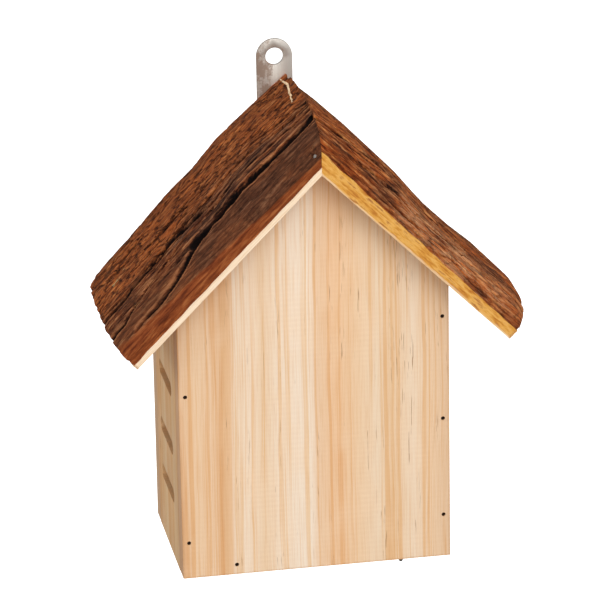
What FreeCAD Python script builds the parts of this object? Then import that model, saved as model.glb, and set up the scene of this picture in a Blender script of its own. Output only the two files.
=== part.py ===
"""Insect hotel: a gabled box of 10 mm boards with entry slots in its sides,
two bark-on slab-cut boards for a roof, a drop floor for cleaning and a
steel plate to hang it by. Millimetres, +Z up, front towards -Y.

The shapes are built in house coordinates: X from the middle of the front
board, Y from its outer face backwards, Z from its bottom edge upwards.
They are written with the origin at the hanging hole, on the wall side.
"""
import FreeCAD
import Part
import math
import os

os.makedirs("parts", exist_ok=True)
Vector = FreeCAD.Vector

# Box of boards
BODY_WIDTH = 130.0
BODY_DEPTH = 81.0
BOARD = 10.0
APEX_HEIGHT = 202.6        # where the two slab undersides meet
RIDGE_OFFSET = 2.9         # the ridge stands this far right of the middle
ROOF_PITCH = 45.0          # degrees

# Roof slabs, each cut with a flat underside and a round, bark-covered back
SLAB_LENGTH = 125.5        # down the slope, along the underside
FRONT_OVERHANG = 13.0
# Section of a slab as (place along the depth from 0 front to 1 back, thickness):
# the wood's back has flats, where the bark lies on it, and the bark is round
WOOD_SECTION = {
    "left": [(0.0, 2.6), (0.12, 7.2), (0.38, 10.4), (0.7, 10.2), (1.0, 7.2)],
    "right": [(0.0, 6.4), (0.12, 9.0), (0.38, 10.4), (0.7, 9.2), (1.0, 6.2)],
}
BARK_SECTION = {
    "left": [(0.0, 8.0), (0.04, 11.6), (0.13, 14.6), (0.27, 16.6), (0.55, 17.2), (0.82, 16.2), (1.0, 13.6)],
    "right": [(0.0, 8.8), (0.04, 11.8), (0.13, 14.8), (0.25, 16.6), (0.42, 16.8), (0.7, 14.2), (1.0, 11.4)],
}

# Entry slots in the side boards
SLOT_LENGTH = 38.0
SLOT_WIDTH = 7.0
SLOT_HEIGHTS = [32.5, 57.3, 87.3]
SLOT_SHIFT = 1.0           # behind the middle of the depth

# Drop floor
FLOOR_SWING_GAP = 0.6      # between its turning corners and the side boards
FLOOR_GAP_FACE = 0.5       # to the front and back boards
PIVOT_INSET = 26.0         # from the left side of the house
PULL_INSET_X = 20.9        # from the right side of the house
PULL_INSET_Y = 5.5         # from the floor's front edge

# Nails
NAIL_LENGTH = 30.0
NAIL_SHANK_R = 0.8
NAIL_HEAD_R = 0.95
NAIL_HEAD_T = 0.7
NAIL_POINT = 2.0
NAIL_SET = 0.5             # heads are punched this far below the wood
NAIL_EDGE = 3.2            # from the side edge of the front or back board
TIGHT = 0.05               # clearance of a fastener driven into wood
RUNNING = 0.1              # clearance of the floor on its pivot nails
HOLE_END_GAP = 0.3
NAIL_FROM_BOTTOM = 18.3    # the row of nails up a board's edge starts here
NAIL_FROM_EAVE = 17.2      # and ends here; each nail has its place between
FRONT_LEFT_NAILS = [0.0, 0.753]
FRONT_RIGHT_NAILS = [0.031, 0.505, 1.0]
BACK_NAILS = [0.0, 0.5, 1.0]
ROOF_NAIL_FROM_RIDGE = 35.0    # both down the slope
ROOF_NAIL_FROM_EAVE = 14.0
ROOF_NAIL_SINK = 2.5       # below the bark's surface
RIDGE_NAIL_LENGTH = 20.0
# Height above the underside's apex and direction driven
RIDGE_NAIL_FRONT = (9.3, (1.0, 0.5, -0.35))
RIDGE_NAIL_BACK = (6.0, (1.0, 0.0, -0.2))
RIDGE_NAIL_INSET_FRONT = 0.8   # from the slabs' front edge
RIDGE_NAIL_INSET_BACK = 11.0   # from their back edge

# Hanging plate
PLATE_WIDTH = 17.4
PLATE_T = 1.5
PLATE_BELOW_HOLE = 86.0
PLATE_CORNER_R = 2.0
HOLE_R = 4.25
HOLE_ABOVE_APEX = 28.7
HOLE_X = -2.2
SCREW_DROPS = [48.0, 74.0]  # below the hanging hole
SCREW_SHANK_R = 1.5
SCREW_COVER = 1.5          # wood left in front of a screw's tip
SCREW_HEAD_R = 3.2
SCREW_HEAD_T = 1.8
SCREW_RECESS = 0.7
SCREW_RECESS_R = 2.0       # reach of each arm of the cross
SCREW_RECESS_W = 0.8
SCREW_CLEARANCE = 0.3      # of the plate's holes round the screws

# Pull hook
HOOK_R = 0.9
HOOK_DROP = 9.0            # from the floor's underside to the lowest point
HOOK_BEND_R = 2.0
HOOK_ARM = 6.0             # straight part of the arm beyond the bend
HOOK_COVER = 3.0           # wood left above its end

HALF = BODY_WIDTH / 2
PITCH = math.radians(ROOF_PITCH)
ROOF_DEPTH = BODY_DEPTH + FRONT_OVERHANG
FAR = 4 * (BODY_WIDTH + APEX_HEIGHT)
SIDE_INNER = HALF - BOARD
HOLE_HEIGHT = APEX_HEIGHT + HOLE_ABOVE_APEX
PIVOT_X = PIVOT_INSET - HALF
PIVOT_Z = BOARD / 2
PULL_X = HALF - PULL_INSET_X
SLOT_CENTRE_Y = BODY_DEPTH / 2 + SLOT_SHIFT
SCREW_LENGTH = PLATE_T + BOARD - SCREW_COVER
HOOK_DEPTH = BOARD - HOOK_COVER
SIDE_SIGN = {"left": -1, "right": 1}
ORIGIN = Vector(HOLE_X, BODY_DEPTH + PLATE_T, HOLE_HEIGHT)


def box(low, high):
    size = Vector(*high) - Vector(*low)
    return Part.makeBox(size.x, size.y, size.z, Vector(*low))


def extruded(points, direction):
    wire = Part.makePolygon(points + points[:1])
    return Part.Face(wire).extrude(direction)


def export(name, solids):
    """Write one node: a solid, or a group of separate solids."""
    shape = solids[0] if len(solids) == 1 else Part.makeCompound(solids)
    shape = shape.copy()
    shape.translate(-ORIGIN)
    shape.exportStep("parts/" + name + ".step")
    volume = sum(solid.Volume for solid in shape.Solids)
    print(f"{name:18s} {len(shape.Solids)} solid(s) {volume:10.1f} mm3")


# Roof geometry ---------------------------------------------------------

def slope(side):
    """Unit vector down one slope of the roof."""
    return Vector(SIDE_SIGN[side] * math.cos(PITCH), 0, -math.sin(PITCH))


def outward(side):
    """Unit vector square out of one slope of the roof."""
    return Vector(SIDE_SIGN[side] * math.sin(PITCH), 0, math.cos(PITCH))


def on_slab(side, down, depth, rise):
    """A point by its way down the slope, its Y and its height off the underside."""
    apex = Vector(RIDGE_OFFSET, depth, APEX_HEIGHT)
    return apex + slope(side) * down + outward(side) * rise


def roof_underside(x):
    """Height of the slab undersides above a place across the front."""
    return APEX_HEIGHT - abs(x - RIDGE_OFFSET) * math.tan(PITCH)


def section_points(side, section, start):
    points = []
    for share, thickness in section[side]:
        points.append(on_slab(side, start, -FRONT_OVERHANG + share * ROOF_DEPTH, thickness))
    return points


def bark_curve(side, start):
    curve = Part.BSplineCurve()
    curve.interpolate(section_points(side, BARK_SECTION, start))
    return curve


def bark_height(side, depth):
    """Height of the bark off a slab's underside at one place along its depth."""
    plane = Part.Plane(Vector(0, depth, 0), Vector(0, 1, 0))
    hit = bark_curve(side, 0).intersect(plane)[0][0]
    return outward(side).dot(Vector(hit.X, hit.Y, hit.Z) - on_slab(side, 0, depth, 0))


def mitred(side, outline, start):
    """Extrude a closed outline down the slope and cut it upright at the ridge."""
    slab = Part.Face(outline).extrude(slope(side) * (SLAB_LENGTH - start))
    x_far = RIDGE_OFFSET + SIDE_SIGN[side] * FAR
    half_space = box(
        (min(RIDGE_OFFSET, x_far), -FAR, -FAR),
        (max(RIDGE_OFFSET, x_far), FAR, FAR),
    )
    return slab.common(half_space).Solids[0]


def slab_start(side):
    """How far up past the ridge a slab is extruded before its mitre is cut."""
    return -2 * max(thickness for share, thickness in BARK_SECTION[side])


def slab_wood(side):
    start = slab_start(side)
    top = section_points(side, WOOD_SECTION, start)
    feet = [on_slab(side, start, depth, 0) for depth in (BODY_DEPTH, -FRONT_OVERHANG)]
    return mitred(side, Part.makePolygon(top + feet + top[:1]), start)


def slab_bark(side):
    start = slab_start(side)
    bottom = section_points(side, WOOD_SECTION, start)
    top = section_points(side, BARK_SECTION, start)
    edges = Part.makePolygon(bottom).Edges
    edges += [
        Part.makeLine(bottom[0], top[0]),
        Part.makeLine(bottom[-1], top[-1]),
        bark_curve(side, start).toShape(),
    ]
    return mitred(side, Part.Wire(Part.sortEdges(edges)[0]), start)


# Fasteners -------------------------------------------------------------

def nail(head, direction, length=NAIL_LENGTH):
    """A nail whose head's top is at a point, driven along a direction."""
    direction = direction.normalize()
    top = Part.makeCylinder(NAIL_HEAD_R, NAIL_HEAD_T, head, direction)
    shank = Part.makeCylinder(NAIL_SHANK_R, length - NAIL_POINT, head, direction)
    tip = Part.makeCone(NAIL_SHANK_R, 0, NAIL_POINT, head + direction * (length - NAIL_POINT), direction)
    return top.fuse([shank, tip]).removeSplitter().Solids[0]


def nail_hole(head, direction, above=NAIL_SET, clearance=TIGHT, length=NAIL_LENGTH):
    """What a nail removes from the wood, open above its head."""
    direction = direction.normalize()
    pocket = Part.makeCylinder(NAIL_HEAD_R + TIGHT, above + NAIL_HEAD_T, head - direction * above, direction)
    shank = Part.makeCylinder(NAIL_SHANK_R + clearance, length + HOLE_END_GAP, head, direction)
    return pocket.fuse(shank)


def face_nail(face, x, height):
    """Head centre and driving direction of a nail in the front or back board."""
    if face == "front":
        return Vector(x, NAIL_SET, height), Vector(0, 1, 0)
    return Vector(x, BODY_DEPTH - NAIL_SET, height), Vector(0, -1, 0)


def edge_nails(face, side, shares):
    """The row of nails up one edge of the front or back board."""
    x = SIDE_SIGN[side] * (HALF - NAIL_EDGE)
    top = roof_underside(SIDE_SIGN[side] * HALF) - NAIL_FROM_EAVE
    return [face_nail(face, x, NAIL_FROM_BOTTOM + share * (top - NAIL_FROM_BOTTOM)) for share in shares]


def roof_nails(side):
    eave = abs(SIDE_SIGN[side] * HALF - RIDGE_OFFSET) / math.cos(PITCH)
    places = []
    for down in (ROOF_NAIL_FROM_RIDGE, eave - ROOF_NAIL_FROM_EAVE):
        for depth in (BOARD / 2, BODY_DEPTH - BOARD / 2):
            rise = bark_height(side, depth) - ROOF_NAIL_SINK
            places.append((on_slab(side, down, depth, rise), -outward(side)))
    return places


def ridge_nails():
    """Nails from the left slab's bark through the mitre into the right slab."""
    rows = [
        (RIDGE_NAIL_INSET_FRONT - FRONT_OVERHANG, RIDGE_NAIL_FRONT),
        (BODY_DEPTH - RIDGE_NAIL_INSET_BACK, RIDGE_NAIL_BACK),
    ]
    places = []
    for depth, (rise, direction) in rows:
        top = bark_height("left", depth) / math.cos(PITCH)
        reach = (top - rise) / math.tan(PITCH)
        direction = Vector(*direction).normalize()
        surface = Vector(RIDGE_OFFSET - reach, depth, APEX_HEIGHT + rise)
        places.append((surface + direction * NAIL_SET, direction))
    return places


NAILS = {
    "front_nails_left": edge_nails("front", "left", FRONT_LEFT_NAILS),
    "front_nails_right": edge_nails("front", "right", FRONT_RIGHT_NAILS),
    "back_nails_left": edge_nails("back", "left", BACK_NAILS),
    "back_nails_right": edge_nails("back", "right", BACK_NAILS),
    "roof_nails_left": roof_nails("left"),
    "roof_nails_right": roof_nails("right"),
}
PIVOT_NAILS = [face_nail(face, PIVOT_X, PIVOT_Z) for face in ("front", "back")]


def drilled(solid, names):
    """Cut the holes of the named groups of nails out of a board."""
    for name in names:
        above = 2 * ROOF_NAIL_SINK if name.startswith("roof") else NAIL_SET
        for head, direction in NAILS[name]:
            solid = solid.cut(nail_hole(head, direction, above))
    return solid


# Boards ----------------------------------------------------------------

def gabled_board(front_y):
    outline = [
        Vector(-HALF, front_y, 0),
        Vector(HALF, front_y, 0),
        Vector(HALF, front_y, roof_underside(HALF)),
        Vector(RIDGE_OFFSET, front_y, APEX_HEIGHT),
        Vector(-HALF, front_y, roof_underside(-HALF)),
    ]
    board = extruded(outline, Vector(0, BOARD, 0))
    for head, direction in PIVOT_NAILS:
        board = board.cut(nail_hole(head, direction))
    return board


def slot_cutter(x_low, x_high, height):
    radius = SLOT_WIDTH / 2
    half = SLOT_LENGTH / 2 - radius
    middle = box(
        (x_low, SLOT_CENTRE_Y - half, height - radius),
        (x_high, SLOT_CENTRE_Y + half, height + radius),
    )
    ends = []
    for y in (SLOT_CENTRE_Y - half, SLOT_CENTRE_Y + half):
        ends.append(Part.makeCylinder(radius, x_high - x_low, Vector(x_low, y, height), Vector(1, 0, 0)))
    return middle.fuse(ends)


def side_board(side):
    sign = SIDE_SIGN[side]
    outer = sign * HALF
    inner = sign * SIDE_INNER
    outline = [
        Vector(outer, BOARD, 0),
        Vector(inner, BOARD, 0),
        Vector(inner, BOARD, roof_underside(inner)),
        Vector(outer, BOARD, roof_underside(outer)),
    ]
    board = extruded(outline, Vector(0, BODY_DEPTH - 2 * BOARD, 0))
    for height in SLOT_HEIGHTS:
        board = board.cut(slot_cutter(min(outer, inner) - BOARD, max(outer, inner) + BOARD, height))
    return board


def floor_reach(wall):
    """How far the floor runs from its pivot to a side board it has to swing clear of."""
    return math.sqrt((abs(wall - PIVOT_X) - FLOOR_SWING_GAP) ** 2 - (BOARD / 2) ** 2)


def floor_board():
    front = BOARD + FLOOR_GAP_FACE
    board = box(
        (PIVOT_X - floor_reach(-SIDE_INNER), front, 0),
        (PIVOT_X + floor_reach(SIDE_INNER), BODY_DEPTH - front, BOARD),
    )
    for head, direction in PIVOT_NAILS:
        board = board.cut(nail_hole(head, direction, clearance=RUNNING))
    hook_hole = Part.makeCylinder(
        HOOK_R + TIGHT, HOOK_DEPTH + HOLE_END_GAP, Vector(PULL_X, front + PULL_INSET_Y, 0), Vector(0, 0, 1)
    )
    return board.cut(hook_hole)


def pull_hook():
    """Square hook: a shank down out of the floor, a bend and an arm to the back."""
    y = BOARD + FLOOR_GAP_FACE + PULL_INSET_Y
    arm_z = HOOK_R - HOOK_DROP
    top = Vector(PULL_X, y, HOOK_DEPTH)
    bend_top = Vector(PULL_X, y, arm_z + HOOK_BEND_R)
    turn = HOOK_BEND_R * (1 - math.sqrt(0.5))
    bend_mid = Vector(PULL_X, y + turn, arm_z + turn)
    bend_end = Vector(PULL_X, y + HOOK_BEND_R, arm_z)
    tip = bend_end + Vector(0, HOOK_ARM, 0)
    path = Part.Wire([
        Part.makeLine(top, bend_top),
        Part.Arc(bend_top, bend_mid, bend_end).toShape(),
        Part.makeLine(bend_end, tip),
    ])
    ring = Part.Wire(Part.makeCircle(HOOK_R, top, Vector(0, 0, 1)))
    return path.makePipeShell([ring], True, False)


# Hanging plate ---------------------------------------------------------

def hanger_plate():
    half = PLATE_WIDTH / 2
    y = BODY_DEPTH
    hole = Vector(HOLE_X, y, HOLE_HEIGHT)
    backwards = Vector(0, 1, 0)
    strip = box(
        (HOLE_X - half, y, HOLE_HEIGHT - PLATE_BELOW_HOLE),
        (HOLE_X + half, y + PLATE_T, HOLE_HEIGHT),
    )
    corners = [edge for edge in strip.Edges
               if edge.BoundBox.YLength > PLATE_T / 2 and edge.BoundBox.ZMax < HOLE_HEIGHT - half]
    strip = strip.makeFillet(PLATE_CORNER_R, corners)
    plate = strip.fuse(Part.makeCylinder(half, PLATE_T, hole, backwards)).removeSplitter()
    plate = plate.cut(Part.makeCylinder(HOLE_R, PLATE_T, hole, backwards))
    for drop in SCREW_DROPS:
        centre = hole - Vector(0, 0, drop)
        plate = plate.cut(Part.makeCylinder(SCREW_SHANK_R + SCREW_CLEARANCE, PLATE_T, centre, backwards))
    return plate.Solids[0]


def screw(drop):
    """Round-headed screw with a cross recess, driven forwards through the plate."""
    seat = Vector(HOLE_X, BODY_DEPTH + PLATE_T, HOLE_HEIGHT - drop)
    forwards = Vector(0, -1, 0)
    shank = Part.makeCylinder(SCREW_SHANK_R, SCREW_LENGTH, seat, forwards)
    ball_r = (SCREW_HEAD_R ** 2 + SCREW_HEAD_T ** 2) / (2 * SCREW_HEAD_T)
    ball = Part.makeSphere(ball_r, seat + forwards * (ball_r - SCREW_HEAD_T))
    head = ball.common(box((-FAR, seat.y, -FAR), (FAR, seat.y + FAR, FAR)))
    solid = head.fuse(shank)
    floor_y = seat.y + SCREW_HEAD_T - SCREW_RECESS
    for dx, dz in ((SCREW_RECESS_R, SCREW_RECESS_W / 2), (SCREW_RECESS_W / 2, SCREW_RECESS_R)):
        solid = solid.cut(box(
            (seat.x - dx, floor_y, seat.z - dz),
            (seat.x + dx, floor_y + SCREW_HEAD_T, seat.z + dz),
        ))
    return solid.Solids[0]


def screw_hole(drop):
    start = Vector(HOLE_X, BODY_DEPTH, HOLE_HEIGHT - drop)
    depth = SCREW_LENGTH - PLATE_T + HOLE_END_GAP
    return Part.makeCylinder(SCREW_SHANK_R + TIGHT, depth, start, Vector(0, -1, 0))


# The nodes -------------------------------------------------------------

def build():
    front = gabled_board(0)
    front = drilled(front, ["front_nails_left", "front_nails_right", "roof_nails_left", "roof_nails_right"])
    export("front_panel", front.Solids)

    back = gabled_board(BODY_DEPTH - BOARD)
    back = drilled(back, ["back_nails_left", "back_nails_right", "roof_nails_left", "roof_nails_right"])
    for drop in SCREW_DROPS:
        back = back.cut(screw_hole(drop))
    export("back_panel", back.Solids)

    for side in ("left", "right"):
        board = drilled(side_board(side), ["front_nails_" + side, "back_nails_" + side])
        export(side + "_side_panel", board.Solids)

        wood = drilled(slab_wood(side), ["roof_nails_" + side])
        bark = drilled(slab_bark(side), ["roof_nails_" + side])
        for head, direction in ridge_nails():
            hole = nail_hole(head, direction, above=NAIL_HEAD_R, length=RIDGE_NAIL_LENGTH)
            wood = wood.cut(hole)
            bark = bark.cut(hole)
        export("roof_board_" + side, wood.Solids)
        export("roof_bark_" + side, bark.Solids)

    for name, places in NAILS.items():
        export(name, [nail(head, direction) for head, direction in places])
    export("ridge_nails", [nail(head, direction, RIDGE_NAIL_LENGTH) for head, direction in ridge_nails()])
    export("floor_pivot_nails", [nail(head, direction) for head, direction in PIVOT_NAILS])

    export("hanger_plate", [hanger_plate()])
    export("hanger_screws", [screw(drop) for drop in SCREW_DROPS])
    export("floor_panel", floor_board().Solids)
    export("floor_pull_hook", pull_hook().Solids)


build()
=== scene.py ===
# %% [markdown]
# # An insect hotel under a bark roof
# This lesson dresses a small wooden house, made for insects to winter in.
# The house has already been designed as exact parts that move and fit, and
# they come in here as a fixed frame. Blender adds what drawings leave out:
# furrowed bark, the bands of the fir boards and dull steel. The frame is
# loaded first, so that every size in the lesson can be read from it.

# %% The fixed frame
import math

import bpy
import numpy as np
from mathutils import Matrix, Vector


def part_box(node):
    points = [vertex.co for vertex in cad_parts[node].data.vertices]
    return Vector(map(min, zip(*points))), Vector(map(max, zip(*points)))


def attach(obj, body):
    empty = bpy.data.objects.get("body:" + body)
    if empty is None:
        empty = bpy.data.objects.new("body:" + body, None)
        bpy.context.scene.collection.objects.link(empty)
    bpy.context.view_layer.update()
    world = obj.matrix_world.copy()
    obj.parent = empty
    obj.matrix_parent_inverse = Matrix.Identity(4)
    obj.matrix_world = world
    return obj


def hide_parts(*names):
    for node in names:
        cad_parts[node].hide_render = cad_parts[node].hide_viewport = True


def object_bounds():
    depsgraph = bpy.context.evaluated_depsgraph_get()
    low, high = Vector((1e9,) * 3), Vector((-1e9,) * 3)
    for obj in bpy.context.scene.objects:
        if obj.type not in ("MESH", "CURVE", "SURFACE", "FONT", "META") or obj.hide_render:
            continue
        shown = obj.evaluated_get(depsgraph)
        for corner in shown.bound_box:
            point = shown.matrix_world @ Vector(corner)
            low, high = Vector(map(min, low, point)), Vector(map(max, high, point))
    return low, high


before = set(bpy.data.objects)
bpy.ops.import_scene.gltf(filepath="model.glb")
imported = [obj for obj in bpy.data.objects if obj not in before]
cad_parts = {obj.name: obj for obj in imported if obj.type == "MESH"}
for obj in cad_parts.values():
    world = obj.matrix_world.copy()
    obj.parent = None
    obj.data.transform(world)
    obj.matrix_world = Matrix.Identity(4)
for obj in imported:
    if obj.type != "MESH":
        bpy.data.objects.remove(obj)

cad_box = [[float(value) for value in corner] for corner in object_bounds()]
scene = bpy.context.scene
MM = 0.001
print("parts in the frame:", len(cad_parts), "whole box:", cad_box)

# %% [markdown]
# ## Where things are
# The roof is two slabs of wood that meet over the front board's tip. Its
# places are easiest to give as a carpenter would: so far down the slope, so
# far back from the slab's front edge, and so high off its flat underside.
# One function turns those three into a point, and all roof pieces use it.

# %% Sizes read from the frame
ridge_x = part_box("roof_bark_left")[1].x
apex_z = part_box("front_panel")[1].z
slab_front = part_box("roof_bark_left")[0].y
slab_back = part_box("roof_bark_left")[1].y
HALF_ROOT = math.sqrt(0.5)      # the roof pitch is 45 degrees
SLAB_LENGTH = (apex_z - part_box("roof_board_left")[0].z) / HALF_ROOT / MM
ROOF_DEPTH = (slab_back - slab_front) / MM
SIDES = {"left": -1, "right": 1}


def on_slab(side, down, back, rise):
    """Metres in the frame, from millimetres down the slope, back and up off it."""
    x = ridge_x + SIDES[side] * HALF_ROOT * (down + rise) * MM
    z = apex_z + HALF_ROOT * (rise - down) * MM
    return np.stack([x, slab_front + back * MM + 0 * x, z], axis=-1)


print(f"slab {SLAB_LENGTH:.1f} mm long, {ROOF_DEPTH:.1f} mm deep")

# %% [markdown]
# ## The camera
# A small product is best looked at from well back with a long lens, so that
# its upright edges stay nearly upright. The camera stands a little to the
# left and looks down by about twenty degrees. Its place is worked out from
# those angles, because then each of them can be changed alone.

# %% A long lens, a little above and to the left
CAMERA_TURN = math.radians(10.09)
CAMERA_DOWN = math.radians(20.91)
CAMERA_TILT = math.radians(-1.01)
CAMERA_AWAY = 2.192
CAMERA_AIM = Vector((0.0051, -0.0525, -0.110))
CAMERA_LENS = 269.4             # millimetres

away = Vector((
    -math.sin(CAMERA_TURN) * math.cos(CAMERA_DOWN),
    -math.cos(CAMERA_TURN) * math.cos(CAMERA_DOWN),
    math.sin(CAMERA_DOWN),
))
level = (-away).cross(Vector((0, 0, 1))).normalized()
upright = level.cross(-away)
right = level * math.cos(CAMERA_TILT) + upright * math.sin(CAMERA_TILT)
up = upright * math.cos(CAMERA_TILT) - level * math.sin(CAMERA_TILT)

bpy.ops.object.select_all(action="DESELECT")
bpy.ops.object.camera_add()
camera = bpy.context.object
camera.name = "product_camera"
camera.matrix_world = Matrix.Translation(CAMERA_AIM + away * CAMERA_AWAY) @ Matrix(
    (right, up, away)
).transposed().to_4x4()
camera.data.lens = CAMERA_LENS
scene.camera = camera
scene.view_settings.view_transform = "Standard"
print("camera at", [round(value, 3) for value in camera.location])

# %% [markdown]
# ## Shader sums that read like sums
# A node material is arithmetic on sockets. Wiring each Math node by hand
# hides the idea, so one small class wraps a socket and lets Python's own
# signs add the nodes. A second class holds a material and adds any other
# node with one method.

# %% Wire and Finish
class Wire:
    """One output socket. Sums on it add Math nodes."""

    def __init__(self, finish, socket):
        self.finish = finish
        self.socket = socket

    def sum_with(self, operation, first, second):
        return self.finish.node("Math", {"operation": operation}, {0: first, 1: second})

    def __add__(self, other):
        return self.sum_with("ADD", self, other)

    def __sub__(self, other):
        return self.sum_with("SUBTRACT", self, other)

    def __rsub__(self, other):
        return self.sum_with("SUBTRACT", other, self)

    def __mul__(self, other):
        return self.sum_with("MULTIPLY", self, other)

    def __truediv__(self, other):
        return self.sum_with("DIVIDE", self, other)

    def least(self, other):
        return self.sum_with("MINIMUM", self, other)

    def most(self, other):
        return self.sum_with("MAXIMUM", self, other)

    def size(self):
        return self.sum_with("ABSOLUTE", self, 0.0)

    __radd__ = __add__
    __rmul__ = __mul__


class Finish:
    """A material, or the air of the studio, in the making."""

    def __init__(self, name, holder=None):
        self.material = holder or bpy.data.materials.new(name)
        self.material.use_nodes = True
        self.tree = self.material.node_tree
        self.tree.nodes.clear()

    def node(self, kind, settings=None, sockets=None, out=0):
        """Any node: its settings first, then its sockets' values or links."""
        node = self.tree.nodes.new("ShaderNode" + kind)
        for key, value in (settings or {}).items():
            if key == "stops":
                ramp = node.color_ramp.elements
                stops = sorted(value)
                for element, (place, colour) in zip(ramp, (stops[0], stops[-1])):
                    element.position, element.color = place, colour
                for place, colour in stops[1:-1]:
                    ramp.new(place).color = colour
            else:
                setattr(node, key, value)
        for key, value in (sockets or {}).items():
            if isinstance(value, Wire):
                self.tree.links.new(value.socket, node.inputs[key])
            else:
                node.inputs[key].default_value = value
        return Wire(self, node.outputs[out]) if node.outputs else None

    def stretched(self, place, size_x, size_y, size_z):
        """A place measured in cells of that many millimetres each way."""
        cells = (1 / size_x, 1 / size_y, 1 / size_z)
        return self.node("VectorMath", {"operation": "MULTIPLY"}, {0: place, 1: cells})

    def noise(self, place, detail=3.0, rough=0.55):
        values = {"Vector": place, "Scale": 1.0, "Detail": detail, "Roughness": rough}
        return self.node("TexNoise", {}, values)

    def between(self, value, low, high):
        """0 below low, 1 above high and an easy curve between them."""
        settings = {"interpolation_type": "SMOOTHSTEP"}
        return self.node("MapRange", settings, {0: value, 1: low, 2: high})

    def fade(self, value, low, high):
        """1 below low, 0 above high."""
        return 1 - self.between(value, low, high)

    def ramp(self, value, *stops):
        return self.node("ValToRGB", {"stops": list(stops)}, {0: value})

    def mix(self, share, first, second, mode="MIX"):
        settings = {"data_type": "RGBA", "blend_type": mode}
        return self.node("Mix", settings, {0: share, 6: first, 7: second}, out=2)

    def reading(self, key, out="Fac"):
        """What the modelling wrote on each point of the mesh under that name."""
        return self.node("Attribute", {"attribute_name": key}, {}, out=out)

    def parts(self, place):
        return [self.node("SeparateXYZ", {}, {0: place}, out=axis) for axis in range(3)]

    def joined(self, x, y, z):
        return self.node("CombineXYZ", {}, {0: x, 1: y, 2: z})

    def done(self, height, strength, depth, **surface):
        """Closes the material with a bump of that height and a surface shader."""
        bump = self.node("Bump", {}, {"Strength": strength, "Distance": depth, "Height": height})
        values = {key.replace("_", " "): value for key, value in surface.items()}
        shader = self.node("BsdfPrincipled", {}, {**values, "Normal": bump})
        self.node("OutputMaterial", {}, {"Surface": shader})
        return self.material


def paint(red, green, blue):
    """A colour as a paint card gives it, from 0 to 255, for a socket."""
    return tuple((value / 255) ** 2.2 for value in (red, green, blue)) + (1.0,)


print("pale fir is", [round(value, 2) for value in paint(236, 208, 176)])

# %% [markdown]
# ## Fir boards
# The box is nailed from planed fir. Fir has straight grain: bands of spring
# and summer wood, hair-thin fibres, and short dark resin dashes. Each board
# is sawn from another place, so the finish takes the board's own broad bands
# and a shift. The pattern is drawn on object coordinates in millimetres,
# stretched along the grain, so it has its real size on each board. Faces
# that cut the grain show darker end grain, and arrises are rubbed a little.

# %% The fir finish
PLANER_STEP = 2.6               # mm between the ripples that the planer leaves
FIR_BUMP = 0.30
FIR_BUMP_DEPTH = 0.0004         # metres, as all bump depths here


def object_millimetres(finish):
    place = finish.node("TexCoord", {}, {}, out="Object")
    return finish.node("VectorMath", {"operation": "SCALE"}, {0: place, "Scale": 1000.0})


def fir_finish(name, across, along, bands, edges, shift=0.0, ripple=0.0):
    """Planed fir. across and along are axis numbers, bands the broad colours
    over the board's width, and edges its outline as (axis, low, high) in mm,
    with across first."""
    finish = Finish(name)
    axes = finish.parts(object_millimetres(finish))
    thick = axes[3 - across - along]

    def drawn(place, wide, long, deep, detail, rough=0.55, over=shift, onward=0.0):
        """Noise in cells of that many mm across, along and through the board."""
        return finish.noise(finish.joined(
            place / wide + over, axes[along] / long + onward, thick / deep), detail, rough)

    drift = drawn(axes[across], 30, 170, 40, 2.0)
    shake = drawn(axes[across], 5, 38, 12, 2.0)
    grain = axes[across] + (drift - 0.5) * 4 + (shake - 0.5) * 1.1
    rings = drawn(grain, 2.3, 420, 9, 4.0, 0.62)
    fibres = drawn(grain, 0.45, 24, 0.8, 3.0, over=0.0, onward=shift)
    dashes = drawn(grain, 0.42, 12, 3, 1.0, over=0.0, onward=shift)
    rows = drawn(grain, 2.6, 150, 9, 1.0, over=shift * 2)
    patches = drawn(axes[across], 16, 32, 16, 2.0)

    _, low, high = edges[0]
    width = (grain - low) / (high - low)
    colour = finish.ramp(width, *bands)
    lines = finish.between(rings, 0.50, 0.62)
    colour = finish.mix(lines * 0.8, colour, paint(245, 222, 190), "MULTIPLY")
    threads = finish.between(fibres, 0.42, 0.68)
    colour = finish.mix(threads * 0.55, colour, paint(245, 230, 212), "MULTIPLY")
    warm = finish.between(patches, 0.45, 0.75)
    colour = finish.mix(warm * 0.30, colour, paint(240, 206, 170))
    resin = finish.between(dashes + width * 0.03, 0.64, 0.72)
    resin = resin * finish.between(rows + width * 0.10, 0.60, 0.68)
    resin = resin * finish.between(patches, 0.40, 0.50)
    colour = finish.mix(resin * 0.65, colour, paint(140, 92, 54))

    turned = finish.parts(finish.node("TexCoord", {}, {}, out="Normal"))
    end_grain = finish.between(turned[along].size(), 0.55, 0.85)
    cut_rings = finish.mix(rings, paint(150, 100, 58), paint(214, 168, 120))
    colour = finish.mix(end_grain * 0.7, colour, cut_rings)

    rim = None
    for axis, low, high in edges:
        near = (axes[axis] - low).least(high - axes[axis])
        rim = near if rim is None else rim.least(near)
    worn = finish.fade(rim + (shake - 0.5) * 1.6, 0.2, 1.3)     # the last millimetre
    colour = finish.mix(worn * 0.35, colour, paint(176, 124, 78))

    turns = axes[along] * (2 * math.pi / PLANER_STEP)
    waves = finish.node("Math", {"operation": "SINE"}, {0: turns})
    height = fibres * 0.5 + lines * 0.35 + waves * (ripple * patches) - resin * 0.8
    return finish.done(
        height, FIR_BUMP, FIR_BUMP_DEPTH, Base_Color=colour,
        Roughness=0.58 + fibres * 0.16 + resin * 0.1 + end_grain * 0.1,
    )


print("fir finish ready")

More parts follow.
